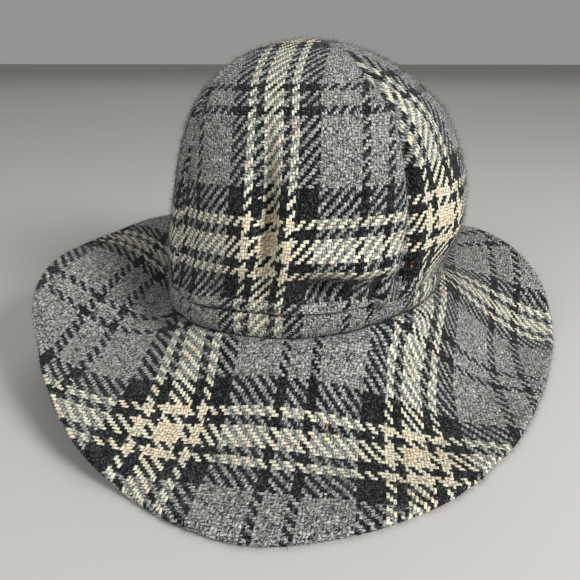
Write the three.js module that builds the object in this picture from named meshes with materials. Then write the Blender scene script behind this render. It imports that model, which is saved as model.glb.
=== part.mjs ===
// A soft wide-brimmed tweed hat, resting on a surface as it would by itself.
// Millimetres, +Z up, front of the hat towards -Y, wearer's left towards +X.
// The origin is under the middle of the hat's outline, on the surface the hat rests on.
// Turns are degrees round the hat from the front, growing towards +X.
import * as THREE from 'three';

// Head opening, measured on the outside of the crown cloth at the brim seam
const HEAD_HALF_WIDTH = 85.5;
const HEAD_HALF_DEPTH = 94;

// Crown: four gores that meet in a low peak
const PEAK_HEIGHT = 181;
const CROWN_CLOTH = 2.4;
const PEAK_OPENING = 1.2;
const GORE_SEAM_DEPTH = 1.2;
const GORE_SEAM_WIDTH = 5;
const SHOULDER_SQUARENESS = 0.03;

// Band of the same cloth between the crown and the brim
const BAND_HEIGHT = 13;

// Where band, crown and brim are sewn together, the cloth rolls in to the seam
const SEAM_ROLL_DEPTH = 0.9;
const SEAM_ROLL_WIDTH = 2.5;

// Brim: an upper and an under cloth, with the upper one turned down round the edge
const BRIM_WIDTH = 97;
const BRIM_CLOTH = 2;
const SEAM_HEIGHT = 33;
const EDGE_LIFT = 52;
const EDGE_ROUNDING = 1.2;
// How far the cloth is pressed flat where it rests
const REST_PRESS = 0.6;
// Above 1, the brim starts out level with its seam before it falls
const LEVEL_START = 1.35;

// Gap kept between neighbouring pieces
const CLEARANCE = 0.3;

// The gores in the order of their turns, each from its start to the next one's
const GORES = [
  { name: 'crown_gore_front', start: -52, sections: 21 },
  { name: 'crown_gore_left', start: 37, sections: 11 },
  { name: 'crown_gore_back', start: 132, sections: 11 },
  { name: 'crown_gore_right', start: 222, sections: 11 },
];

// Outline of the crown from the brim seam to the peak.
// reach: share of the head opening's half width and half depth
// lean: sideways shift of the ring, share of HEAD_HALF_WIDTH
// rise: share of the height between the brim seam and the peak
const CROWN_OUTLINE = [
  { reach: 1.0, lean: -0.09, rise: 0 },
  { reach: 1.015, lean: -0.075, rise: 0.09 },
  { reach: 1.055, lean: -0.02, rise: 0.25 },
  { reach: 1.035, lean: 0.01, rise: 0.41 },
  { reach: 0.965, lean: 0.01, rise: 0.58 },
  { reach: 0.855, lean: -0.01, rise: 0.735 },
  { reach: 0.68, lean: -0.05, rise: 0.85 },
  { reach: 0.46, lean: -0.045, rise: 0.935 },
  { reach: 0.22, lean: -0.02, rise: 0.982 },
  { reach: 0, lean: 0, rise: 1 },
];

// Dents and puffs of the crown, as soft bumps on its outline.
// turn, turnSpread: degrees; rise, riseSpread: share of the crown's height
// depth: inwards, share of HEAD_HALF_WIDTH
const CROWN_DENTS = [
  { turn: -10, turnSpread: 5, rise: 0.43, riseSpread: 0.22, depth: 0.055 },
  { turn: -2, turnSpread: 6, rise: 0.4, riseSpread: 0.2, depth: -0.02 },
  { turn: 9, turnSpread: 9, rise: 0.2, riseSpread: 0.06, depth: 0.05 },
  { turn: 20, turnSpread: 16, rise: 0.13, riseSpread: 0.05, depth: -0.03 },
  { turn: 46, turnSpread: 7, rise: 0.42, riseSpread: 0.2, depth: 0.04 },
  { turn: 66, turnSpread: 14, rise: 0.17, riseSpread: 0.09, depth: 0.05 },
  { turn: 200, turnSpread: 22, rise: 0.4, riseSpread: 0.2, depth: 0.03 },
];

// The brim all round.
// width: level reach from the brim seam to the edge, share of BRIM_WIDTH
// lift: height of the edge above the surface, share of EDGE_LIFT
// seam: height of the brim seam above the surface, share of SEAM_HEIGHT
// sag: how far the middle hangs below a straight fall, share of SEAM_HEIGHT
// fall: how quickly the brim leaves the height of the seam, 1 for slowly
const BRIM_SECTIONS = [
  { turn: 0, width: 1.035, lift: 0, seam: 1.0, sag: 0, fall: 4.6 },
  { turn: 10, width: 0.99, lift: 0, seam: 1.03, sag: 0, fall: 4.6 },
  { turn: 20, width: 0.93, lift: 0, seam: 1.06, sag: 0, fall: 4.6 },
  { turn: 31, width: 0.86, lift: 0, seam: 1.1, sag: 0, fall: 4.6 },
  { turn: 43, width: 0.775, lift: 0, seam: 1.14, sag: 0, fall: 4.6 },
  { turn: 58, width: 0.705, lift: 0, seam: 1.17, sag: 0, fall: 4.4 },
  { turn: 74, width: 0.705, lift: 0, seam: 1.18, sag: 0, fall: 3.3 },
  { turn: 86, width: 0.765, lift: 0, seam: 1.18, sag: 0, fall: 2.3 },
  { turn: 95, width: 0.83, lift: 0.09, seam: 1.17, sag: 0.04, fall: 1.7 },
  { turn: 104, width: 0.855, lift: 0.42, seam: 1.14, sag: 0.14, fall: 1.5 },
  { turn: 113, width: 0.85, lift: 0.66, seam: 1.1, sag: 0.2, fall: 1.5 },
  { turn: 124, width: 0.79, lift: 0.82, seam: 1.03, sag: 0.2, fall: 1.5 },
  { turn: 136, width: 0.745, lift: 0.79, seam: 0.96, sag: 0.16, fall: 1.5 },
  { turn: 150, width: 0.745, lift: 0.42, seam: 0.88, sag: 0.08, fall: 1.6 },
  { turn: 164, width: 0.765, lift: 0.06, seam: 0.81, sag: 0, fall: 1.8 },
  { turn: 180, width: 0.77, lift: 0, seam: 0.76, sag: 0, fall: 2 },
  { turn: 194, width: 0.715, lift: 0.12, seam: 0.72, sag: 0, fall: 1.9 },
  { turn: 208, width: 0.66, lift: 0.47, seam: 0.69, sag: 0, fall: 1.8 },
  { turn: 222, width: 0.625, lift: 0.84, seam: 0.66, sag: 0, fall: 2 },
  { turn: 240, width: 0.597, lift: 0.97, seam: 0.63, sag: 0, fall: 2.4 },
  { turn: 260, width: 0.606, lift: 0.97, seam: 0.63, sag: 0, fall: 2.8 },
  { turn: 274, width: 0.655, lift: 1, seam: 0.65, sag: 0, fall: 2.8 },
  { turn: 285, width: 0.73, lift: 1, seam: 0.7, sag: 0.1, fall: 2.5 },
  { turn: 296, width: 0.79, lift: 0.88, seam: 0.75, sag: 0.26, fall: 2.3 },
  { turn: 306, width: 0.812, lift: 0.64, seam: 0.8, sag: 0.3, fall: 2.3 },
  { turn: 318, width: 0.84, lift: 0.4, seam: 0.86, sag: 0.22, fall: 2.8 },
  { turn: 331, width: 0.9, lift: 0.19, seam: 0.92, sag: 0.08, fall: 3.8 },
  { turn: 342, width: 0.935, lift: 0.02, seam: 0.96, sag: 0, fall: 4.5 },
  { turn: 351, width: 1.0, lift: 0, seam: 0.98, sag: 0, fall: 4.6 },
];

// How finely the pieces are divided
const RING_SECTIONS = 72;
const BRIM_STEPS = [0.9, 0.74, 0.58, 0.44, 0.32, 0.22, 0.13, 0.06];
const CROWN_ROWS = 14;

// Small steps over which slopes are taken, in degrees and as a share of a length
const TURN_STEP = 1;
const SHARE_STEP = 0.01;

const TWEED = { color: '#5b5f61', roughness: 0.95, metalness: 0 };

const { degToRad, radToDeg, euclideanModulo } = THREE.MathUtils;
const fullTurn = 360;
const brimDepth = 2 * BRIM_CLOTH + CLEARANCE;
const outline = new THREE.CatmullRomCurve3(
  CROWN_OUTLINE.map(({ reach, lean, rise }) => new THREE.Vector3(reach, lean, rise)),
);
const outlineLength = outline.getLength();

// Smooth closed curve through one column of a table whose rows go round the hat
function aroundHat(rows, column, turn) {
  const angle = euclideanModulo(turn, fullTurn);
  const index = rows.findLastIndex((row) => row.turn <= angle);
  const [before, start, end, after] = [-1, 0, 1, 2].map((step) => {
    const place = index + step;
    const row = rows[euclideanModulo(place, rows.length)];
    return { turn: row.turn + fullTurn * Math.floor(place / rows.length), value: row[column] };
  });
  const span = end.turn - start.turn;
  const share = (angle - start.turn) / span;
  const startSlope = (span * (end.value - before.value)) / (end.turn - before.turn);
  const endSlope = (span * (after.value - start.value)) / (after.turn - start.turn);
  const square = share ** 2;
  const cube = share ** 3;
  const eased = 3 * square - 2 * cube;
  const value = start.value + eased * (end.value - start.value);
  return value + (cube - 2 * square + share) * startSlope + (cube - square) * endSlope;
}

// Shortest way from one turn to another, in degrees
function turnBetween(from, to) {
  return euclideanModulo(to - from + fullTurn / 2, fullTurn) - fullTurn / 2;
}

// Turn from the nearest gore seam
function fromGoreSeam(turn) {
  const distances = GORES.map(({ start }) => turnBetween(start, turn));
  return distances.reduce((near, next) => (Math.abs(next) < Math.abs(near) ? next : near));
}

// Direction away from the axis at a turn, level
function outwards(turn) {
  return new THREE.Vector3(Math.sin(degToRad(turn)), -Math.cos(degToRad(turn)), 0);
}

function seamHeight(turn) {
  return SEAM_HEIGHT * aroundHat(BRIM_SECTIONS, 'seam', turn);
}

// Point on the outside of band and crown; along runs from the brim (0) to the peak (1)
function crownPoint(turn, along) {
  const { x: reach, y: lean, z: rise } = outline.getPointAt(along);
  const fadeAtPeak = Math.min(1, 2 * reach);
  const base = seamHeight(turn) + brimDepth + CLEARANCE;
  const fromSeam = degToRad(fromGoreSeam(turn)) * reach * HEAD_HALF_WIDTH;
  let inset = GORE_SEAM_DEPTH * fadeAtPeak * Math.exp(-((fromSeam / GORE_SEAM_WIDTH) ** 2));
  for (const dent of CROWN_DENTS) {
    const sideways = turnBetween(dent.turn, turn) / dent.turnSpread;
    const upwards = (rise - dent.rise) / dent.riseSpread;
    inset += fadeAtPeak * dent.depth * HEAD_HALF_WIDTH * Math.exp(-(sideways ** 2) - upwards ** 2);
  }
  const corners = Math.cos(GORES.length * degToRad(turn - GORES[1].start));
  const spread = reach * (1 + SHOULDER_SQUARENESS * rise * corners);
  const direction = outwards(turn);
  return new THREE.Vector3(
    lean * HEAD_HALF_WIDTH + (spread * HEAD_HALF_WIDTH - inset) * direction.x,
    (spread * HEAD_HALF_DEPTH - inset) * direction.y,
    base + (PEAK_HEIGHT - base) * rise,
  );
}

// The same point, set in along the cloth's normal
function insetCrownPoint(turn, along, inset) {
  const before = crownPoint(turn - TURN_STEP / 2, along);
  const sideways = crownPoint(turn + TURN_STEP / 2, along).sub(before);
  const above = crownPoint(turn, Math.min(1, along + SHARE_STEP / 2));
  const upwards = above.sub(crownPoint(turn, Math.max(0, along - SHARE_STEP / 2)));
  const normal = sideways.cross(upwards).normalize();
  return crownPoint(turn, along).addScaledVector(normal, -inset);
}

// Share of the outline that covers a height, close to the foot of the crown
function alongAt(height) {
  return height / (PEAK_HEIGHT - SEAM_HEIGHT - brimDepth) / outlineLength;
}

// Height of the brim's underside; share runs from the brim seam (0) to the edge (1)
function brimUnderside(turn, share) {
  const row = (column) => aroundHat(BRIM_SECTIONS, column, turn);
  const seam = SEAM_HEIGHT * row('seam');
  const edge = EDGE_LIFT * row('lift');
  const along = Math.max(0, share);
  const left = (1 - along ** LEVEL_START) ** row('fall');
  const sag = SEAM_HEIGHT * row('sag') * (1 - (2 * along - 1) ** 2);
  return Math.max(0, edge + (seam - edge) * left - sag - REST_PRESS);
}

// Point in the thickness of the brim, a level of 0 being its underside
function brimPoint(turn, fromSeam, level) {
  const width = BRIM_WIDTH * aroundHat(BRIM_SECTIONS, 'width', turn);
  const share = Math.min(1, fromSeam / width);
  const outer = Math.min(1, share + SHARE_STEP);
  const inner = Math.max(0, share - SHARE_STEP);
  const slopeOut = (brimUnderside(turn, outer) - brimUnderside(turn, inner)) / ((outer - inner) * width);
  const rise = brimUnderside(turn + TURN_STEP, share) - brimUnderside(turn - TURN_STEP, share);
  const point = crownPoint(turn, 0).addScaledVector(outwards(turn), fromSeam);
  const slopeRound = rise / (2 * degToRad(TURN_STEP) * Math.hypot(point.x, point.y));
  const steepness = Math.hypot(1, slopeOut, slopeRound);
  return point.setZ(brimUnderside(turn, share) + level * steepness);
}

// A closed solid from sections side by side, each with as many outer as inner
// points; in a ring the last section joins the first. The inner faces are split
// along the same diagonals as the outer ones, so that sheets nest in each other.
function sheetGeometry(sections, isRing) {
  const depth = sections[0].outer.length;
  const around = 2 * depth;
  const loops = sections.map(({ outer, inner }) => [...outer, ...inner.toReversed()]);
  const indices = [];
  const addQuad = (a, b, c, d) => indices.push(a, b, c, a, c, d);
  const spans = isRing ? sections.length : sections.length - 1;
  for (let i = 0; i < spans; i += 1) {
    const here = i * around;
    const next = ((i + 1) % sections.length) * around;
    for (let j = 0; j < around; j += 1) {
      const k = (j + 1) % around;
      const corners = [here + j, next + j, next + k, here + k];
      if (j >= depth) corners.push(corners.shift());
      addQuad(...corners);
    }
  }
  if (!isRing) {
    const end = (sections.length - 1) * around;
    for (let j = 0; j < depth - 1; j += 1) {
      const opposite = around - 1 - j;
      addQuad(j, j + 1, opposite - 1, opposite);
      addQuad(end + j, end + opposite, end + opposite - 1, end + j + 1);
    }
  }
  const positions = loops.flat().flatMap((point) => point.toArray());
  const geometry = new THREE.BufferGeometry();
  geometry.setAttribute('position', new THREE.Float32BufferAttribute(positions, 3));
  geometry.setIndex(indices);
  geometry.computeVertexNormals();
  return geometry;
}

function tweedPiece(name, geometry) {
  const piece = new THREE.Mesh(geometry, new THREE.MeshStandardMaterial(TWEED));
  piece.name = name;
  return piece;
}

// Turns of the sections of a ring that goes all the way round the hat
const ringTurns = Array.from({ length: RING_SECTIONS }, (_, i) => (i * fullTurn) / RING_SECTIONS);

// Rows of a sewn strip of cloth, with its seamed edges rolled in
function clothRows(start, end, count, rollsAtEnd) {
  const roll = alongAt(SEAM_ROLL_WIDTH);
  const last = rollsAtEnd ? end - roll : end;
  const rows = [{ along: start, roll: SEAM_ROLL_DEPTH }];
  for (let i = 0; i < count; i += 1) {
    rows.push({ along: start + roll + ((last - start - roll) * i) / (count - 1), roll: 0 });
  }
  if (rollsAtEnd) rows.push({ along: end, roll: SEAM_ROLL_DEPTH });
  return rows;
}

function clothSection(turnAt, rows) {
  return {
    outer: rows.map(({ along, roll }) => insetCrownPoint(turnAt(along), along, roll)),
    inner: rows.map(({ along, roll }) => insetCrownPoint(turnAt(along), along, roll + CROWN_CLOTH)),
  };
}

function crownGore({ name, start, sections }, index) {
  const foot = alongAt(BAND_HEIGHT + CLEARANCE);
  const peak = 1 - PEAK_OPENING / (HEAD_HALF_WIDTH * outlineLength);
  const rows = clothRows(foot, peak, CROWN_ROWS, false);
  const span = euclideanModulo(GORES[(index + 1) % GORES.length].start - start, fullTurn);
  const columns = Array.from({ length: sections }, (_, i) => {
    const share = i / (sections - 1);
    const turnAt = (along) => {
      const radius = outline.getPointAt(along).x * HEAD_HALF_WIDTH;
      const margin = radToDeg(CLEARANCE / 2 / radius);
      return start + margin + share * (span - 2 * margin);
    };
    return clothSection(turnAt, rows);
  });
  return tweedPiece(name, sheetGeometry(columns, false));
}

function crownBand() {
  const rows = clothRows(0, alongAt(BAND_HEIGHT), 2, true);
  const sections = ringTurns.map((turn) => clothSection(() => turn, rows));
  return tweedPiece('crown_band', sheetGeometry(sections, true));
}

// Both brim cloths run from the edge to the inside of the band's foot
function brimSteps(width) {
  return [...BRIM_STEPS.map((share) => share * width), 0, -CROWN_CLOTH];
}

function brimUpper() {
  const sections = ringTurns.map((turn) => {
    const width = BRIM_WIDTH * aroundHat(BRIM_SECTIONS, 'width', turn);
    const hem = width - BRIM_CLOTH;
    const under = BRIM_CLOTH + CLEARANCE;
    const steps = brimSteps(width);
    return {
      outer: [
        brimPoint(turn, width - EDGE_ROUNDING, CLEARANCE),
        brimPoint(turn, width, EDGE_ROUNDING),
        brimPoint(turn, width, brimDepth - EDGE_ROUNDING),
        brimPoint(turn, width - EDGE_ROUNDING, brimDepth),
        ...steps.map((step) => brimPoint(turn, step, brimDepth)),
      ],
      inner: [
        brimPoint(turn, hem, CLEARANCE),
        brimPoint(turn, hem, EDGE_ROUNDING),
        brimPoint(turn, hem, under - CLEARANCE),
        brimPoint(turn, hem - CLEARANCE, under),
        ...steps.map((step) => brimPoint(turn, step, under)),
      ],
    };
  });
  return tweedPiece('brim_upper', sheetGeometry(sections, true));
}

function brimUnder() {
  const sections = ringTurns.map((turn) => {
    const width = BRIM_WIDTH * aroundHat(BRIM_SECTIONS, 'width', turn);
    const steps = [width - BRIM_CLOTH - CLEARANCE, ...brimSteps(width)];
    return {
      outer: steps.map((step) => brimPoint(turn, step, BRIM_CLOTH)),
      inner: steps.map((step) => brimPoint(turn, step, 0)),
    };
  });
  return tweedPiece('brim_under', sheetGeometry(sections, true));
}

const hat = new THREE.Group();
hat.add(...GORES.map(crownGore), crownBand(), brimUpper(), brimUnder());

// The head opening was the middle up to here; now the middle of the outline is
const middle = new THREE.Box3().setFromObject(hat).getCenter(new THREE.Vector3());
for (const piece of hat.children) {
  piece.geometry.translate(-middle.x, -middle.y, 0);
}

export default hat;
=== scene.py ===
import math

import bpy
import numpy as np
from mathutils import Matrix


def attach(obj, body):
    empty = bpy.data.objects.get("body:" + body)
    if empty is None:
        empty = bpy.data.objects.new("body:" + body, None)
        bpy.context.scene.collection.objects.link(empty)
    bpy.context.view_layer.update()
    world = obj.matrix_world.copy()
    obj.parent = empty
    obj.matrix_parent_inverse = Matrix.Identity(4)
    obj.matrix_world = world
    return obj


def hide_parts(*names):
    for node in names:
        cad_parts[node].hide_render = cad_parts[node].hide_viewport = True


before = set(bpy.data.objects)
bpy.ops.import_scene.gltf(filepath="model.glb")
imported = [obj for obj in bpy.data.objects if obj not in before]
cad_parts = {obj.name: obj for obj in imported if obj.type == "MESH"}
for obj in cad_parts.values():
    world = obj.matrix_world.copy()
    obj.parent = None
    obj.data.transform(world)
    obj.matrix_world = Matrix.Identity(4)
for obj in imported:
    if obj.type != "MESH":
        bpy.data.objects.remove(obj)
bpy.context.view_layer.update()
MM = 0.001


# The studio: a plain pale floor that the hat rests on, a soft light on the right, a weaker
# and wider one on the left and a large one high behind, and the camera at the photograph's
# viewing angle, close to the hat and looking down at the front of the brim.
CAMERA_PLACE = (0.0276, -0.3441, 0.170)
# Degrees down from the level, and to the left of straight ahead
CAMERA_DOWN = 21.7
CAMERA_TURN = 7.0
CAMERA_LENS = 36.06
SENSOR_WIDTH = 36.0
FLOOR_SIZE = 40.0
FLOOR_COLOUR = (0.42, 0.412, 0.4, 1.0)
FLOOR_ROUGHNESS = 0.85
SKY_COLOUR = (1.0, 0.99, 0.97, 1.0)
SKY_STRENGTH = 0.3
SOFT_LIGHTS = (
    # name, place, size, power
    ("key_light", (1.0, -0.7, 0.74), 0.5, 25.0),
    ("fill_light", (-0.8, -1.2, 0.6), 1.0, 11.0),
    ("top_light", (0.0, 2.6, 4.2), 3.0, 60.0),
)

camera_data = bpy.data.cameras.new("camera")
camera_data.sensor_width = SENSOR_WIDTH
camera_data.lens = CAMERA_LENS
camera_data.clip_start = 0.01
camera = bpy.data.objects.new("camera", camera_data)
camera.location = CAMERA_PLACE
camera.rotation_euler = (math.radians(90 - CAMERA_DOWN), 0, math.radians(CAMERA_TURN))
bpy.context.scene.collection.objects.link(camera)
bpy.context.scene.camera = camera

for name, place, size, power in SOFT_LIGHTS:
    light_data = bpy.data.lights.new(name, "AREA")
    light_data.shape = "DISK"
    light_data.size = size
    light_data.energy = power
    light = bpy.data.objects.new(name, light_data)
    light.location = place
    towards = -light.location
    light.rotation_euler = towards.to_track_quat("-Z", "Y").to_euler()
    bpy.context.scene.collection.objects.link(light)

sky = bpy.data.worlds.new("sky")
sky.use_nodes = True
sky.node_tree.nodes["Background"].inputs["Color"].default_value = SKY_COLOUR
sky.node_tree.nodes["Background"].inputs["Strength"].default_value = SKY_STRENGTH
bpy.context.scene.world = sky
bpy.context.scene.view_settings.view_transform = "Standard"

bpy.ops.object.select_all(action="DESELECT")
bpy.ops.mesh.primitive_plane_add(size=FLOOR_SIZE)
floor = bpy.context.object
floor.name = "floor"
floor_paint = bpy.data.materials.new("floor_paint")
floor_paint.use_nodes = True
floor_shader = floor_paint.node_tree.nodes["Principled BSDF"]
floor_shader.inputs["Base Color"].default_value = FLOOR_COLOUR
floor_shader.inputs["Roughness"].default_value = FLOOR_ROUGHNESS
floor.data.materials.append(floor_paint)


# The tweed: a coarse woollen two-and-two twill, heather grey with bands of black and
# cream yarns both ways. Its map is in yarns, one unit to a yarn, so that each float of
# the weave is coloured by the yarn that lies on top.
CROWN_WARP, CROWN_WEFT = 1.36, 1.56  # millimetres from yarn to yarn, both ways
BRIM_WARP, BRIM_WEFT = 1.66, 1.72
# Every yarn is spun of light and dark wool; the value says how much of it is light
GREY, BLACK, CREAM = 0.507, 0.28, 0.715
# The yarns of one repeat of the check: kind and number of yarns
WARP_CHECK = (
    (GREY, 15), (BLACK, 3), (GREY, 7), (BLACK, 3), (GREY, 15),
    (BLACK, 7), (CREAM, 3), (BLACK, 3), (CREAM, 8), (BLACK, 3), (CREAM, 3), (BLACK, 8),
)
WEFT_CHECK = (
    (GREY, 22), (BLACK, 3), (GREY, 6), (BLACK, 3), (GREY, 22),
    (BLACK, 8), (CREAM, 3), (BLACK, 3), (CREAM, 7), (BLACK, 3), (CREAM, 3), (BLACK, 9),
)
DARK_WOOL = (0.004, 0.0045, 0.006, 1)
LIGHT_WOOL = (0.53, 0.55, 0.52, 1)
CREAM_WOOL = (0.78, 0.765, 0.59, 1)
WARM_WOOL = (0.86, 0.71, 0.49, 1)
SLUB_WHITE = (0.75, 0.74, 0.70, 1)
SLUB_RUST = (0.42, 0.13, 0.04, 1)


class Cloth:
    """Wires up the nodes of a woven cloth."""

    def __init__(self, tree):
        self.tree = tree

    def feed(self, node, place, value):
        """Gives an input another node's output or a plain value."""
        if hasattr(value, "is_output"):
            self.tree.links.new(value, node.inputs[place])
        else:
            node.inputs[place].default_value = value

    def add(self, kind, values=(), **settings):
        node = self.tree.nodes.new(kind)
        for key, value in settings.items():
            setattr(node, key, value)
        for place, value in enumerate(values):
            self.feed(node, place, value)
        return node

    def sum(self, operation, *values):
        return self.add("ShaderNodeMath", values, operation=operation).outputs[0]

    def span(self, value, low, high, start, end):
        """The value's place between low and high, as one between start and end."""
        return self.add("ShaderNodeMapRange", (value, low, high, start, end)).outputs[0]

    def place(self, x, y, z=0.0):
        return self.add("ShaderNodeCombineXYZ", (x, y, z)).outputs[0]

    def mix(self, share, one, other, blend="MIX"):
        node = self.add("ShaderNodeMix", data_type="RGBA", blend_type=blend)
        for place, value in ((0, share), (6, one), (7, other)):
            self.feed(node, place, value)
        return node.outputs[2]

    def noise(self, vector, scale, detail=2.0, roughness=0.5):
        node = self.add("ShaderNodeTexNoise")
        self.feed(node, "Vector", vector)
        self.feed(node, "Scale", scale)
        self.feed(node, "Detail", detail)
        self.feed(node, "Roughness", roughness)
        return node.outputs[0]

    def yarns(self, index, check):
        """How light each yarn is, from its place in the repeat of the check."""
        repeat = sum(count for _, count in check)
        place = self.sum("FRACT", self.sum("DIVIDE", self.sum("ADD", index, 0.5), repeat))
        ramp = self.add("ShaderNodeValToRGB", (place,))
        stops = ramp.color_ramp
        stops.interpolation = "CONSTANT"
        start = 0
        for number, (lightness, count) in enumerate(check):
            if number < 2:
                stop = stops.elements[number]
                stop.position = start / repeat
            else:
                stop = stops.elements.new(start / repeat)
            stop.color = (lightness, lightness, lightness, 1)
            start += count
        return ramp.outputs[0]


tweed = bpy.data.materials.new("tweed")
tweed.use_nodes = True
shader = tweed.node_tree.nodes["Principled BSDF"]
cloth = Cloth(tweed.node_tree)
uv = cloth.add("ShaderNodeUVMap", uv_map="yarns").outputs[0]
# Hand-spun yarns wander a little from their straight course, slowly, and vary in
# thickness from stitch to stitch. All sizes here are in yarns.
WANDER, WANDER_SCALE = 1.3, 0.11
UNEVENNESS, UNEVEN_SCALE = 0.5, 1.1
FIBRE_CURL, FIBRE_CURL_SCALE = 1.6, 0.7
# The weft yarns wander in their own way, read at another place of the same noise
WEFT_NOISE_PLACE = (37.0, 11.0, 0)
elsewhere = cloth.add("ShaderNodeVectorMath", (uv, WEFT_NOISE_PLACE), operation="ADD").outputs[0]
split = cloth.add("ShaderNodeSeparateXYZ", (uv,))


def yarn_place(straight, vector):
    """A yarn's place across the cloth, with its slow wander and its uneven thickness."""
    wandering = cloth.sum("MULTIPLY_ADD", cloth.noise(vector, WANDER_SCALE), WANDER, straight)
    uneven = cloth.noise(vector, UNEVEN_SCALE, 4.0, roughness=0.75)
    return cloth.sum("MULTIPLY_ADD", uneven, UNEVENNESS, wandering)


def choose(share, one, other):
    """One value where the share is 1, the other where it is 0."""
    mixed = cloth.add("ShaderNodeMix", data_type="FLOAT")
    for place, value in ((0, share), (2, other), (3, one)):
        cloth.feed(mixed, place, value)
    return mixed.outputs[0]


def strands(turn, width, length, offset):
    """Loose fibres that lie across the cloth at a turn, as a value round a half."""
    lean = math.radians(turn)
    u, v = split.outputs[0], split.outputs[1]
    across = cloth.sum("MULTIPLY", v, math.sin(lean) / width)
    across = cloth.sum("MULTIPLY_ADD", u, math.cos(lean) / width, across)
    along = cloth.sum("MULTIPLY", u, -math.sin(lean) / length)
    along = cloth.sum("MULTIPLY_ADD", v, math.cos(lean) / length, along)
    curl = cloth.noise(uv, FIBRE_CURL_SCALE)
    curled = cloth.sum("MULTIPLY_ADD", curl, FIBRE_CURL / width, across)
    return cloth.noise(cloth.place(curled, along, offset), 1.0, 1.0)


# A float passes over two yarns and under two, a step further along on each next yarn.
# Its cross section is a round hump, and it dips at both ends.
HUMP_SQUARENESS = 2.8
DIP_SHARPNESS, DIP_DEPTH = 3.4, 0.95
FIBRE_TWIST, FIBRE_SLANT, FIBRE_STRETCH = 3.4, 1.3, 0.6
FLUFF_SCALE = 1.7

warp_place = yarn_place(split.outputs[0], uv)
weft_place = yarn_place(split.outputs[1], elsewhere)
warp = cloth.sum("FLOOR", warp_place)
weft = cloth.sum("FLOOR", weft_place)
in_warp = cloth.sum("FRACT", warp_place)
in_weft = cloth.sum("FRACT", weft_place)
phase = cloth.sum("FLOORED_MODULO", cloth.sum("SUBTRACT", warp, weft), 4.0)
warp_on_top = cloth.sum("LESS_THAN", phase, 1.5)
first_phase = cloth.sum("LESS_THAN", phase, 0.5)
last_phase = cloth.sum("GREATER_THAN", phase, 2.5)
# Place along the float, 0 to 1, and across its yarn, -1 to 1
along_warp = cloth.sum("MULTIPLY", cloth.sum("ADD", in_weft, first_phase), 0.5)
along_weft = cloth.sum("MULTIPLY", cloth.sum("ADD", in_warp, last_phase), 0.5)
along = choose(warp_on_top, along_warp, along_weft)
in_yarn = choose(warp_on_top, in_warp, in_weft)
across = cloth.sum("MULTIPLY_ADD", in_yarn, 2.0, -1.0)
from_middle = cloth.sum("ABSOLUTE", across)
hump = cloth.sum("SUBTRACT", 1.0, cloth.sum("POWER", from_middle, HUMP_SQUARENESS))
rise_and_fall = cloth.sum("ABSOLUTE", cloth.sum("MULTIPLY_ADD", along, 2.0, -1.0))
dip = cloth.sum("MULTIPLY", cloth.sum("POWER", rise_and_fall, DIP_SHARPNESS), DIP_DEPTH)
relief = cloth.sum("MULTIPLY", hump, cloth.sum("SUBTRACT", 1.0, dip))
# The fibres lie along the yarn, twisted round it
down_yarn = choose(warp_on_top, weft_place, warp_place)
twist = cloth.sum("MULTIPLY", down_yarn, FIBRE_SLANT)
twist = cloth.sum("MULTIPLY_ADD", in_yarn, FIBRE_TWIST, twist)
stretched = cloth.sum("MULTIPLY", down_yarn, FIBRE_STRETCH)
# Every float has fibres of its own
which = cloth.sum("ADD", cloth.sum("MULTIPLY", warp, 7.3), cloth.sum("MULTIPLY", weft, 3.1))
fibres = cloth.noise(cloth.place(twist, stretched, which), 1.0, 3.0, roughness=0.7)
fluff = cloth.noise(uv, FLUFF_SCALE, 4.0, roughness=0.7)
per_float = cloth.add(
    "ShaderNodeTexWhiteNoise", (cloth.place(warp, weft),), noise_dimensions="3D"
).outputs[0]

# How light the wool is at a point: the yarn's own share of light wool, more or less
# from float to float and from place to place, spun fibre by fibre
FLOAT_VARIATION = 0.045
FLUFF_VARIATION = 0.09
LIGHT_START, LIGHT_FULL = 0.425, 0.585
CREAM_START, CREAM_FULL = 0.6, 0.65
WARM_PATCH_SCALE, PATCH_WARMTH = 0.16, 0.7
CROSSING_WARMTH = 0.45
# Painted shade between the floats and painted light on their tops, as factors on the colour
PAINTED_SHADE_BETWEEN, PAINTED_LIGHT_ON_TOP = 0.17, 1.06

warp_light = cloth.yarns(warp, WARP_CHECK)
weft_light = cloth.yarns(weft, WEFT_CHECK)
lightness = choose(warp_on_top, warp_light, weft_light)
spun = cloth.sum("ADD", lightness, cloth.sum("SUBTRACT", fibres, 0.5))
spun = cloth.sum(
    "ADD", spun, cloth.span(per_float, 0.0, 1.0, -FLOAT_VARIATION, FLOAT_VARIATION)
)
spun = cloth.sum("ADD", spun, cloth.span(fluff, 0.2, 0.8, -FLUFF_VARIATION, FLUFF_VARIATION))
is_light = cloth.span(spun, LIGHT_START, LIGHT_FULL, 0.0, 1.0)
is_cream = cloth.span(lightness, CREAM_START, CREAM_FULL, 0.0, 1.0)
warmth = cloth.span(cloth.noise(uv, WARM_PATCH_SCALE), 0.46, 0.66, 0.0, PATCH_WARMTH)
# Where cream crosses cream it is warmer
both_light = cloth.sum("MINIMUM", warp_light, weft_light)
both_cream = cloth.span(both_light, CREAM_START, CREAM_FULL, 0.0, CROSSING_WARMTH)
warmth = cloth.sum("MINIMUM", cloth.sum("ADD", warmth, both_cream), 1.0)
light_wool = cloth.mix(is_cream, LIGHT_WOOL, cloth.mix(warmth, CREAM_WOOL, WARM_WOOL))
coloured = cloth.mix(is_light, DARK_WOOL, light_wool)
# Painted shade: between the floats, where the weave shades itself, the colour is darkened, and on
# their tops it is lightened a little, painted light
shade = cloth.span(relief, 0.0, 0.42, PAINTED_SHADE_BETWEEN, PAINTED_LIGHT_ON_TOP)
painted_shade = cloth.add("ShaderNodeCombineColor", (shade, shade, shade)).outputs[0]
coloured = cloth.mix(1.0, coloured, painted_shade, "MULTIPLY")
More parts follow.
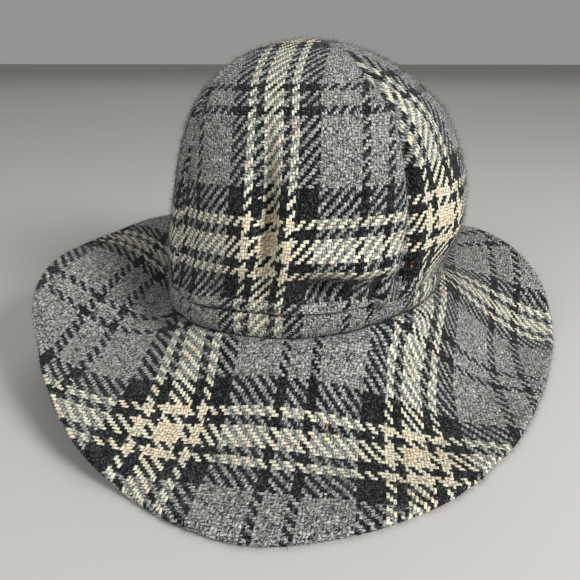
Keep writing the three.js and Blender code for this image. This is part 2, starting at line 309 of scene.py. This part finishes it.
# Loose fibres of the neighbours, light and dark, veil every yarn; few light ones come
# from black yarns
DARK_FIBRE = (0.008, 0.0085, 0.01, 1)
LOOSE_FIBRES = (
    # turn, width and length in yarns, colour, how few there are, how much they hide
    (38, 0.34, 1.9, (0.36, 0.37, 0.355, 1), 0.625, 0.65),
    (-55, 0.34, 1.7, (0.32, 0.33, 0.32, 1), 0.635, 0.65),
    (80, 0.4, 1.6, DARK_FIBRE, 0.585, 0.7),
    (-15, 0.4, 1.8, DARK_FIBRE, 0.595, 0.7),
)
FIBRE_EDGE = 0.07
light_near = cloth.span(cloth.sum("ADD", warp_light, weft_light), 0.6, 0.9, 0.45, 1.0)
for number, (turn, width, length, colour, thinness, cover) in enumerate(LOOSE_FIBRES):
    loose = strands(turn, width, length, 5.0 * number)
    loose = cloth.span(loose, thinness, thinness + FIBRE_EDGE, 0.0, cover)
    if colour != DARK_FIBRE:
        loose = cloth.sum("MULTIPLY", loose, light_near)
    coloured = cloth.mix(loose, coloured, colour)
# A few slubs of white and rust
WHITE_SHARE, RUST_SHARE = 0.0045, 0.0004
slub_shape = cloth.span(cloth.sum("MULTIPLY", relief, fluff), 0.25, 0.4, 0.0, 0.9)
is_white = cloth.sum("MULTIPLY", cloth.sum("GREATER_THAN", per_float, 1 - WHITE_SHARE), slub_shape)
is_rust = cloth.sum("MULTIPLY", cloth.sum("LESS_THAN", per_float, RUST_SHARE), slub_shape)
coloured = cloth.mix(is_white, coloured, SLUB_WHITE)
coloured = cloth.mix(is_rust, coloured, SLUB_RUST)
cloth.feed(shader, "Base Color", coloured)
# Relief of the floats, the fibres on them and the fluff
FLOAT_HEIGHT = 0.6
FIBRE_RELIEF, FLUFF_RELIEF = 0.8, 0.9
surface = cloth.sum("ADD", relief, cloth.sum("MULTIPLY", fibres, FIBRE_RELIEF))
surface = cloth.sum("MULTIPLY_ADD", fluff, FLUFF_RELIEF, surface)
bump = cloth.add("ShaderNodeBump")
cloth.feed(bump, "Strength", 1.0)
cloth.feed(bump, "Distance", FLOAT_HEIGHT * MM)
cloth.feed(bump, "Height", surface)
cloth.feed(shader, "Normal", bump.outputs[0])
cloth.feed(shader, "Roughness", 0.95)
cloth.feed(shader, "Specular IOR Level", 0.08)
cloth.feed(shader, "Sheen Weight", 0.04)
cloth.feed(shader, "Sheen Roughness", 0.5)


# The crown: four gores of the tweed, sewn edge to edge so that they dome up to a low
# peak. Each is one cut of cloth; the seams pull it in, and the front one has been
# pinched and has slumped on to the band.
HEAD_HALF_WIDTH = 85.5
HEAD_HALF_DEPTH = 94.0
PEAK_HEIGHT = 181.0
CROWN_CLOTH = 2.4
SHOULDER_SQUARENESS = 0.03
SEAM_HEIGHT = 33.0
BRIM_DEPTH = 4.3
CLEARANCE = 0.3
BAND_HEIGHT = 13.0
GORE_SEAM_DEPTH = 1.2
GORE_SEAM_WIDTH = 5.0
STITCH_DEPTH = 2.1
STITCH_WIDTH = 2.0
FOOT_ROLL_DEPTH = 2.6
FOOT_ROLL_WIDTH = 2.0
# The head opening's middle, seen from the middle of the hat's outline
OPENING_MIDDLE = (0.495, 12.852)
# reach, lean and rise of the crown's outline, as in the solids but for the peak, which
# has slipped a few millimetres to the wearer's right
CROWN_OUTLINE = np.array([
    (1.0, -0.09, 0), (1.015, -0.075, 0.09), (1.055, -0.02, 0.25), (1.035, 0.01, 0.41),
    (0.965, 0.01, 0.58), (0.855, -0.01, 0.735), (0.68, -0.05, 0.85), (0.46, -0.062, 0.935),
    (0.22, -0.075, 0.982), (0, -0.08, 1),
])
# turn, turn spread, rise, rise spread, depth in millimetres (below 0 for a puff), slant
# in degrees of turn for the whole rise
CROWN_FOLDS = (
    (-10, 5, 0.43, 0.22, 4.7, 0),
    (-2, 6, 0.4, 0.2, -1.7, 0),
    (9, 9, 0.2, 0.06, 4.3, 0),
    (20, 16, 0.13, 0.05, -2.6, 0),
    (46, 7, 0.42, 0.2, 3.4, 0),
    (66, 14, 0.17, 0.09, 1.2, 0),
    (200, 22, 0.4, 0.2, 2.6, 0),
    (-11.5, 2.4, 0.45, 0.25, 7.8, -9),
    (-6.5, 3.6, 0.42, 0.2, -4.2, -9),
    (-18, 5, 0.42, 0.2, -2.2, -9),
    (9.5, 7, 0.19, 0.036, 12.0, 0),
    (15, 8, 0.16, 0.03, 4.5, 0),
    (21, 11, 0.265, 0.05, -7.0, 0),
    (5, 6, 0.3, 0.05, -2.8, 0),
    (0, 5, 0.12, 0.04, -2.0, 0),
    (27, 2.1, 0.15, 0.11, 3.8, -25),
    (31.5, 3.4, 0.13, 0.1, -3.2, -25),
    (-35, 10, 0.05, 0.04, -1.8, 0),
    (-32, 12, 0.11, 0.04, -3.0, 0),
    (-22, 8, 0.19, 0.045, 2.8, 0),
    (37, 5, 0.24, 0.14, 4.5, 15),
    (37.5, 3.5, 0.5, 0.3, 3.2, 0),
    (60, 10, 0.36, 0.12, -2.0, 0),
    (-44, 5, 0.3, 0.18, 2.2, 0),
)
# piece, solid, start and end of the gore's turn, yarns that its cut is shifted by both
# ways, slant of the cut in degrees
GORES = (
    ("front_gore", "crown_gore_front", -52.0, 37.0, (63.0, 49.5), 0.0),
    ("left_gore", "crown_gore_left", 37.0, 132.0, (19.3, 43.0), -4.0),
    ("back_gore", "crown_gore_back", 132.0, 222.0, (40.0, 22.0), 0.0),
    ("right_gore", "crown_gore_right", 222.0, 308.0, (58.0, 49.5), 3.0),
)
# turn, width, lift, seam, sag, fall of the brim, as in the solids
BRIM_SECTIONS = np.array([
    (0, 1.035, 0, 1.0, 0, 4.6), (10, 0.99, 0, 1.03, 0, 4.6), (20, 0.93, 0, 1.06, 0, 4.6),
    (31, 0.86, 0, 1.1, 0, 4.6), (43, 0.775, 0, 1.14, 0, 4.6), (58, 0.705, 0, 1.17, 0, 4.4),
    (74, 0.705, 0, 1.18, 0, 3.3), (86, 0.765, 0, 1.18, 0, 2.3),
    (95, 0.83, 0.09, 1.17, 0.04, 1.7), (104, 0.855, 0.42, 1.14, 0.14, 1.5),
    (113, 0.85, 0.66, 1.1, 0.2, 1.5), (124, 0.79, 0.82, 1.03, 0.2, 1.5),
    (136, 0.745, 0.79, 0.96, 0.16, 1.5), (150, 0.745, 0.42, 0.88, 0.08, 1.6),
    (164, 0.765, 0.06, 0.81, 0, 1.8), (180, 0.77, 0, 0.76, 0, 2),
    (194, 0.715, 0.12, 0.72, 0, 1.9), (208, 0.66, 0.47, 0.69, 0, 1.8),
    (222, 0.625, 0.84, 0.66, 0, 2), (240, 0.597, 0.97, 0.63, 0, 2.4),
    (260, 0.606, 0.97, 0.63, 0, 2.8), (274, 0.655, 1, 0.65, 0, 2.8),
    (285, 0.73, 1, 0.7, 0.1, 2.5), (296, 0.79, 0.88, 0.75, 0.26, 2.3),
    (306, 0.812, 0.64, 0.8, 0.3, 2.3), (318, 0.84, 0.4, 0.86, 0.22, 2.8),
    (331, 0.9, 0.19, 0.92, 0.08, 3.8), (342, 0.935, 0.02, 0.96, 0, 4.5),
    (351, 1.0, 0, 0.98, 0, 4.6),
])
WIDTH, LIFT, SEAM, SAG, FALL = 1, 2, 3, 4, 5  # columns of the sections


def smooth_curve(points, steps=60):
    """Points along a smooth curve through the given ones."""
    ends = np.vstack([2 * points[0] - points[1], points, 2 * points[-1] - points[-2]])
    share = np.linspace(0, 1, steps, endpoint=False)[:, None]
    pieces = []
    for before, start, end, after in zip(ends, ends[1:], ends[2:], ends[3:]):
        gap_1, gap_2, gap_3 = (
            np.sum((b - a) ** 2) ** 0.25
            for a, b in ((before, start), (start, end), (end, after))
        )
        leave = (start - before) / gap_1 - (end - before) / (gap_1 + gap_2) + (end - start) / gap_2
        reach = (end - start) / gap_2 - (after - start) / (gap_2 + gap_3) + (after - end) / gap_3
        bend = (2 * share**3 - 3 * share**2 + 1) * start + (3 * share**2 - 2 * share**3) * end
        bend += (share**3 - 2 * share**2 + share) * leave * gap_2
        bend += (share**3 - share**2) * reach * gap_2
        pieces.append(bend)
    return np.vstack([*pieces, points[-1:]])


def round_hat(column, turn):
    """A column of the brim's sections, as a smooth closed curve round the hat."""
    turn = np.mod(turn, 360.0)
    turns, values = BRIM_SECTIONS[:, 0], BRIM_SECTIONS[:, column]
    count = len(turns)
    index = np.searchsorted(turns, turn, side="right") - 1
    around = [index + step for step in (-1, 0, 1, 2)]
    t = [turns[near % count] + 360 * (near // count) for near in around]
    v = [values[near % count] for near in around]
    span = t[2] - t[1]
    share = (turn - t[1]) / span
    leave = span * (v[2] - v[0]) / (t[2] - t[0])
    reach = span * (v[3] - v[1]) / (t[3] - t[1])
    eased = 3 * share**2 - 2 * share**3
    value = v[1] + eased * (v[2] - v[1])
    return value + (share**3 - 2 * share**2 + share) * leave + (share**3 - share**2) * reach


def turn_between(start, end):
    return np.mod(end - start + 180, 360) - 180


def length_along(points):
    """Length of a line from its start to each of its points."""
    return np.concatenate([[0], np.cumsum(np.linalg.norm(np.diff(points, axis=0), axis=1))])


HEAD_RADIUS = 0.5 * (HEAD_HALF_WIDTH + HEAD_HALF_DEPTH)
CROWN_RISE = PEAK_HEIGHT - SEAM_HEIGHT - BRIM_DEPTH
outline = smooth_curve(CROWN_OUTLINE)
outline_along = length_along(outline)
outline_along /= outline_along[-1]
# Length of the cloth along the outline, from the brim to the peak
cloth_length = length_along(outline[:, [0, 2]] * (HEAD_RADIUS, CROWN_RISE))


def slight_waves(turn, height):
    """The soft unevenness of handled cloth, within about a millimetre."""
    angle = np.radians(turn)
    waves = 0.42 * np.sin(3 * angle + 0.031 * height + 0.6)
    waves += 0.34 * np.sin(7 * angle - 0.052 * height + 2.1)
    waves += 0.22 * np.sin(13 * angle + 0.083 * height + 4.4)
    return waves + 0.12 * np.sin(23 * angle - 0.14 * height + 1.3)


def from_gore_seam(turn):
    """Turn from the nearest gore seam."""
    gaps = np.stack([turn_between(start, turn) for _, _, start, _, _, _ in GORES])
    return np.take_along_axis(gaps, np.abs(gaps).argmin(0)[None], 0)[0]


def crown_point(turn, along, inset=0.0):
    """Point of the crown's outside; along runs from the brim (0) to the peak (1)."""
    reach, lean, rise = (np.interp(along, outline_along, outline[:, part]) for part in range(3))
    fade = np.minimum(1, 2 * reach)
    base = SEAM_HEIGHT * round_hat(SEAM, turn) + BRIM_DEPTH + CLEARANCE
    from_seam = np.radians(from_gore_seam(turn)) * reach * HEAD_HALF_WIDTH
    inset = inset + GORE_SEAM_DEPTH * fade * np.exp(-((from_seam / GORE_SEAM_WIDTH) ** 2))
    for fold_turn, turn_spread, fold_rise, rise_spread, depth, slant in CROWN_FOLDS:
        sideways = turn_between(fold_turn + slant * (rise - fold_rise), turn) / turn_spread
        upwards = (rise - fold_rise) / rise_spread
        inset = inset + fade * depth * np.exp(-(sideways**2) - upwards**2)
    corners = np.cos(len(GORES) * np.radians(turn - GORES[1][2]))
    spread = reach * (1 + SHOULDER_SQUARENESS * rise * corners)
    direction = np.radians(turn)
    sideways = (spread * HEAD_HALF_WIDTH - inset) * np.sin(direction)
    forwards = (spread * HEAD_HALF_DEPTH - inset) * np.cos(direction)
    return np.stack([
        OPENING_MIDDLE[0] + lean * HEAD_HALF_WIDTH + sideways,
        OPENING_MIDDLE[1] - forwards,
        base + (PEAK_HEIGHT - base) * rise,
    ], axis=-1)


def along_at(height):
    """Share of the outline at a height above the crown's foot, near the foot."""
    return np.interp(height, cloth_length, outline_along)


def lay_cloth(name, places, yarns, thickness):
    """A sheet of cloth: a grid of rows and columns brought to its places, with the
    yarns of the weave mapped on it, closed where it meets itself and made thick."""
    rows, columns = places.shape[:2]
    bpy.ops.object.select_all(action="DESELECT")
    bpy.ops.mesh.primitive_grid_add(x_subdivisions=columns - 1, y_subdivisions=rows - 1, size=1)
    sheet = bpy.context.object
    sheet.name = name
    mesh = sheet.data
    mesh.name = name
    mesh.vertices.foreach_set("co", (places * MM).reshape(-1))
    corners = np.empty(len(mesh.loops), dtype=np.int32)
    mesh.loops.foreach_get("vertex_index", corners)
    mesh.uv_layers[0].name = "yarns"
    mesh.uv_layers[0].data.foreach_set("uv", yarns.reshape(-1, 2)[corners].reshape(-1))
    mesh.update()
    bpy.ops.object.mode_set(mode="EDIT")
    bpy.ops.mesh.select_all(action="SELECT")
    bpy.ops.mesh.remove_doubles(threshold=0.00002)
    bpy.ops.object.mode_set(mode="OBJECT")
    thicken = sheet.modifiers.new("thickness", "SOLIDIFY")
    thicken.thickness = thickness * MM
    thicken.offset = -1
    bpy.ops.object.modifier_apply(modifier=thicken.name)
    bpy.ops.object.shade_smooth()
    sheet.data.materials.clear()
    sheet.data.materials.append(tweed)
    return sheet


def longest(places, axis):
    """Length of the longest row of a grid of places, or column, in metres."""
    return MM * np.linalg.norm(np.diff(places, axis=axis), axis=2).sum(axis=axis).max()


def across_squares(places):
    """Twice the area of each square of a grid of places, as a vector that stands on it."""
    one, two = places[1:, 1:] - places[:-1, :-1], places[:-1, 1:] - places[1:, :-1]
    return np.cross(two, one)


def declare_cut(places, flat):
    """Works out the area that the outside of a sewn sheet has, and does nothing more."""
    area = 0.5 * MM * MM * np.linalg.norm(across_squares(places), axis=2).sum()


# turn, turn spread, how far the cloth bulges out and hangs down over the band
OVERHANGS = (
    (37, 10, 3.2, 5.6),
    (10, 10, 1.2, 2.4),
    (-38, 12, 1.6, 2.6),
)
OVERHANG_MIDDLE = 8.0
OVERHANG_SPREAD = 7.0
OVERHANG_START = 4.0
GORE_COLUMNS = 97
GORE_ROWS = 110
# Rows and columns lie closer together at the seams, where the cloth rolls in
COLUMN_CLOSENESS = 1.25
ROW_CLOSENESS = 1.15
foot = along_at(BAND_HEIGHT + CLEARANCE)
crown_grids = []
for name, node, start, end, shift, slant in GORES:
    even = np.linspace(-1, 1, GORE_COLUMNS)
    columns = 0.5 + 0.5 * np.sign(even) * (1 - (1 - np.abs(even)) ** COLUMN_CLOSENESS)
    steps = np.linspace(0, 1, GORE_ROWS) ** ROW_CLOSENESS
    along_grid, share_grid = np.meshgrid(foot + (1 - foot) * steps, columns, indexing="ij")
    reach = np.interp(along_grid, outline_along, outline[:, 0])
    rise = np.interp(along_grid, outline_along, outline[:, 2])
    turn_grid = start + share_grid * (end - start)
    radius = reach * HEAD_RADIUS
    to_edge = np.radians(np.minimum(turn_grid - start, end - turn_grid)) * radius
    fade = np.minimum(1, 4 * reach)
    height = np.interp(along_grid, outline_along, cloth_length) - BAND_HEIGHT
    roll = STITCH_DEPTH * fade * np.exp(-((to_edge / STITCH_WIDTH) ** 2))
    roll += FOOT_ROLL_DEPTH * np.exp(-((height / FOOT_ROLL_WIDTH) ** 2))
    roll -= fade * slight_waves(turn_grid, height)
    hang = np.zeros_like(height)
    low_down = np.exp(-(((height - OVERHANG_MIDDLE) / OVERHANG_SPREAD) ** 2))
    low_down = low_down * np.clip(height / OVERHANG_START, 0, 1)
    for hang_turn, hang_spread, out, down in OVERHANGS:
        share = low_down * np.exp(-((turn_between(hang_turn, turn_grid) / hang_spread) ** 2))
        roll -= out * share
        hang += down * share
    places = crown_point(turn_grid, along_grid, roll)
    places[..., 2] -= hang
    across = np.radians(turn_grid - 0.5 * (start + end)) * radius
    lift = height + across * math.tan(math.radians(slant))
    yarns = np.stack([across / CROWN_WARP + shift[0], lift / CROWN_WEFT + shift[1]], axis=-1)
    gore = lay_cloth(name, places, yarns, CROWN_CLOTH)
    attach(gore, "root")
    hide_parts(node)
    declare_cut(places, (longest(places, 1), longest(places, 0)))
    crown_grids.append(places)


# The band: a strip of the same tweed round the foot of the crown, sewn in between
# crown and brim, with both its edges rolled in to the seams.
BAND_COLUMNS = 480
BAND_ROWS = 15
BAND_BULGE = 0.7
BAND_ROLL_DEPTH = 1.1
BAND_UNEVENNESS = 0.6
# Yarns that its cut is shifted by, so that its check meets the front gore's
BAND_SHIFT = (70.6, 3.0)
turns = np.linspace(-180, 180, BAND_COLUMNS + 1)
heights = BAND_HEIGHT * (0.5 - 0.5 * np.cos(np.linspace(0, math.pi, BAND_ROWS)))
height_grid, turn_grid = np.meshgrid(heights, turns, indexing="ij")
to_edge = np.minimum(height_grid, BAND_HEIGHT - height_grid)
roll = BAND_ROLL_DEPTH * np.exp(-((to_edge / FOOT_ROLL_WIDTH) ** 2))
roll -= BAND_BULGE * np.sin(math.pi * height_grid / BAND_HEIGHT)
roll -= BAND_UNEVENNESS * slight_waves(turn_grid + 40, height_grid)
places = crown_point(turn_grid, along_at(height_grid), roll)
around = np.radians(turn_grid) * HEAD_RADIUS
yarns = np.stack(
    [around / CROWN_WARP + BAND_SHIFT[0], height_grid / CROWN_WEFT + BAND_SHIFT[1]], axis=-1
)
band_grid = places
band = lay_cloth("band", places, yarns, CROWN_CLOTH)
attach(band, "root")
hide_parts("crown_band")
declare_cut(places, (longest(places, 0), longest(places, 1)))


# The brim: an upper cloth and an under cloth, cut as rings from the flat tweed. The
# upper one is rolled over the edge and sewn to the under one just inside it. In front
# the brim sags to the table and lies flat there; at the sides and back it turns up.
BRIM_WIDTH = 97.0
BRIM_CLOTH = 2.0
EDGE_LIFT = 52.0
REST_PRESS = 0.6
LEVEL_START = 1.35
EDGE_RADIUS = 0.5 * BRIM_DEPTH
BRIM_COLUMNS = 520
BRIM_GRAIN = math.radians(2.5)
BRIM_UNEVENNESS = 0.45
BRIM_EVEN_WIDTH = 12.0
# Yarns that the upper and the under cut are shifted by
UPPER_SHIFT = (29.4, 64.9)
UNDER_SHIFT = (20.0, 30.0)
# The brim swells up beside its seam, most on the front left, where it is puckered
SEAM_SWELL = 0.7
PUCKER_TURN = 40.0
PUCKER_SPREAD = 15.0
PUCKER_RISE = 2.6
PUCKER_PLACE = 2.5
PUCKER_WIDTH = 3.5
# The line of stitches that holds the turned edge
HEM_LINE = 5.0
HEM_LINE_DEPTH = 0.55
HEM_LINE_WIDTH = 1.0
# Rows of the cloth: from the seam to the hem, over the hem, round the edge and underneath
TOP_ROWS = 43
HEM_WIDTH = 9.0
HEM_ROWS = 15
EDGE_ROWS = 9
TURNED_UNDER = (0.7, 1.3)
TUCKED_UP = 0.5
UNDER_ROWS = 46
UNDER_INSET = 1.4


def unit(vectors):
    return vectors / np.linalg.norm(vectors, axis=-1, keepdims=True)


def brim_underside(turn, from_seam):
    """Point of the brim's underside, as in the solids."""
    width = BRIM_WIDTH * round_hat(WIDTH, turn)
    share = np.clip(from_seam / width, 0, 1)
    seam = SEAM_HEIGHT * round_hat(SEAM, turn)
    edge = EDGE_LIFT * round_hat(LIFT, turn)
    left = (1 - share**LEVEL_START) ** round_hat(FALL, turn)
    sag = SEAM_HEIGHT * round_hat(SAG, turn) * (1 - (2 * share - 1) ** 2)
    height = np.maximum(0, edge + (seam - edge) * left - sag - REST_PRESS)
    point = crown_point(turn, np.zeros_like(turn))
    direction = np.radians(turn)
    point[..., 0] += from_seam * np.sin(direction)
    point[..., 1] -= from_seam * np.cos(direction)
    point[..., 2] = height
    return point


def cloth_up(turn, from_seam):
    """The direction straight up out of the brim."""
    step = 0.5
    width = BRIM_WIDTH * round_hat(WIDTH, turn)
    outer = np.minimum(from_seam + step, width)
    inner = np.maximum(from_seam - step, -CROWN_CLOTH)
    outwards = brim_underside(turn, outer) - brim_underside(turn, inner)
    sideways = brim_underside(turn + step, from_seam) - brim_underside(turn - step, from_seam)
    return unit(np.cross(outwards, sideways))


def flat_cut(turn, places):
    """Places of the brim's rows in the flat cloth, in millimetres: each is as far from
    the seam as the cloth is long up to there."""
    steps = np.linalg.norm(np.diff(places, axis=0), axis=2)
    radius = HEAD_RADIUS + np.vstack([0 * steps[:1], np.cumsum(steps, axis=0)])
    angle = np.radians(turn) + BRIM_GRAIN
    return radius * np.sin(angle), -radius * np.cos(angle)


turns = np.linspace(0, 360, BRIM_COLUMNS + 1)
widths = BRIM_WIDTH * round_hat(WIDTH, turns)
rows = [np.full_like(turns, -CROWN_CLOTH)]
rows += [share * (widths - HEM_WIDTH) for share in np.linspace(0, 1, TOP_ROWS + 1)[:-1]]
rows += [widths - inside for inside in np.linspace(HEM_WIDTH, EDGE_RADIUS, HEM_ROWS)]
top_rows = np.stack(rows)
turn_grid = np.broadcast_to(turns, top_rows.shape)
up = cloth_up(turn_grid, top_rows)
from_edge = widths - top_rows
hem_line = HEM_LINE_DEPTH * np.exp(-(((from_edge - HEM_LINE) / HEM_LINE_WIDTH) ** 2))
waves = BRIM_UNEVENNESS * slight_waves(turn_grid, top_rows)
for distance in (top_rows, from_edge):
    waves = waves * np.clip(distance / BRIM_EVEN_WIDTH, 0, 1)
pucker = np.exp(-((turn_between(PUCKER_TURN, turn_grid) / PUCKER_SPREAD) ** 2))
pucker = SEAM_SWELL + PUCKER_RISE * pucker
waves = waves + pucker * np.exp(-(((top_rows - PUCKER_PLACE) / PUCKER_WIDTH) ** 2))
lift = BRIM_DEPTH - hem_line + waves
top = brim_underside(turn_grid, top_rows) + up * lift[..., None]
# Round the edge, and a little way back underneath
edge_angles = np.radians(np.linspace(90, -90, EDGE_ROWS + 1)[1:])
edge_base = np.broadcast_to(widths - EDGE_RADIUS, (len(edge_angles), len(turns)))
edge_turns = np.broadcast_to(turns, edge_base.shape)
edge_up = cloth_up(edge_turns, edge_base)
edge_foot = brim_underside(edge_turns, edge_base)
edge_out = unit(edge_foot - brim_underside(edge_turns, edge_base - 1.0))
around_edge = edge_angles[:, None, None]
edge = edge_foot + edge_up * EDGE_RADIUS * (1 + np.sin(around_edge))
edge = edge + edge_out * EDGE_RADIUS * np.cos(around_edge)
back_rows = np.stack([widths - EDGE_RADIUS - inside for inside in TURNED_UNDER])
back_turns = np.broadcast_to(turns, back_rows.shape)
back = brim_underside(back_turns, back_rows)
back[1] += cloth_up(back_turns, back_rows)[1] * TUCKED_UP
places = np.concatenate([top, edge, back])
flat_x, flat_y = flat_cut(turns, places)
yarns = np.stack(
    [-flat_x / BRIM_WARP + UPPER_SHIFT[0], flat_y / BRIM_WEFT + UPPER_SHIFT[1]], axis=-1
)
brim_grid = places
brim_upper = lay_cloth("upper_brim", places[::-1], yarns[::-1], BRIM_CLOTH)
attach(brim_upper, "root")
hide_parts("brim_upper")
declare_cut(places, (np.ptp(flat_x) * MM, np.ptp(flat_y) * MM))

under_share = np.linspace(0, 1, UNDER_ROWS)[:, None]
under_rows = -CROWN_CLOTH + under_share * (widths - EDGE_RADIUS - UNDER_INSET + CROWN_CLOTH)
under_turns = np.broadcast_to(turns, under_rows.shape)
places = brim_underside(under_turns, under_rows)
flat_x, flat_y = flat_cut(turns, places)
yarns = np.stack(
    [flat_x / BRIM_WARP + UNDER_SHIFT[0], flat_y / BRIM_WEFT + UNDER_SHIFT[1]], axis=-1
)
brim_under = lay_cloth("under_brim", places, yarns, BRIM_CLOTH)
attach(brim_under, "root")
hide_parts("brim_under")
declare_cut(places, (np.ptp(flat_x) * MM, np.ptp(flat_y) * MM))


# The nap: wool hairs that stand out of the tweed all over, most of them one to three
# millimetres long, seen best against the light at the hat's outline.
HAIR_THICKNESS = 0.065
HAIR_LENGTH = 1.6
HAIR_SPREAD = 0.6
LONGEST_HAIR = 4.5
HAIR_ROOT = 0.3  # depth in the cloth
HAIR_TONE_SCALE = 420.0
# Hairs at the brim's edge lie on the floor
LOWEST_HAIR = 0.1
CROWN_HAIRS = 46000
BRIM_HAIRS = 48000
HAIR_DARK = (0.03, 0.032, 0.035, 1)
HAIR_LIGHT = (0.24, 0.245, 0.235, 1)

wool_hair = bpy.data.materials.new("wool_hair")
wool_hair.use_nodes = True
hair_shader = wool_hair.node_tree.nodes["Principled BSDF"]
hair = Cloth(wool_hair.node_tree)
hair_place = hair.add("ShaderNodeTexCoord").outputs["Object"]
hair_tone = hair.span(hair.noise(hair_place, HAIR_TONE_SCALE), 0.35, 0.65, 0.0, 1.0)
hair.feed(hair_shader, "Base Color", hair.mix(hair_tone, HAIR_DARK, HAIR_LIGHT))
hair.feed(hair_shader, "Roughness", 0.8)
hair.feed(hair_shader, "Specular IOR Level", 0.2)


def raise_nap(name, grids, count, draw):
    """Wool hairs scattered evenly over the outside of cloths given as grids."""
    roots = np.concatenate([grid[:-1, :-1].reshape(-1, 3) for grid in grids])
    ups = np.concatenate([across_squares(grid).reshape(-1, 3) for grid in grids])
    area = np.linalg.norm(ups, axis=1)
    chosen = draw.choice(len(roots), count, p=area / area.sum())
    up = unit(ups[chosen])
    spread = np.sqrt(area[chosen])[:, None]
    side = unit(np.cross(up, draw.normal(size=(count, 3))))
    root = roots[chosen] + side * spread * draw.uniform(-0.5, 0.5, (count, 1))
    lean = unit(up * draw.uniform(0.4, 1.3, (count, 1)) + side * draw.uniform(-1, 1, (count, 1)))
    length = np.minimum(LONGEST_HAIR, HAIR_LENGTH * draw.lognormal(0, HAIR_SPREAD, (count, 1)))
    first = unit(np.cross(lean, side))
    second = np.cross(lean, first)
    ring = [
        math.cos(turn) * first + math.sin(turn) * second
        for turn in (0, 2 * math.pi / 3, 4 * math.pi / 3)
    ]
    points = [root - HAIR_ROOT * lean + HAIR_THICKNESS * corner for corner in ring]
    points = np.stack([*points, root + length * lean], axis=1).reshape(-1, 3)
    points[:, 2] = np.maximum(points[:, 2], LOWEST_HAIR)
    faces = []
    for start in range(0, 4 * count, 4):
        a, b, c, tip = range(start, start + 4)
        faces += [(a, c, b), (a, b, tip), (b, c, tip), (c, a, tip)]
    mesh = bpy.data.meshes.new(name)
    mesh.from_pydata((points * MM).tolist(), [], faces)
    mesh.materials.append(wool_hair)
    nap = bpy.data.objects.new(name, mesh)
    bpy.context.scene.collection.objects.link(nap)
    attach(nap, "root")


raise_nap("crown_nap", [*crown_grids, band_grid], CROWN_HAIRS, np.random.default_rng(11))
raise_nap("brim_nap", [brim_grid[::-1]], BRIM_HAIRS, np.random.default_rng(12))
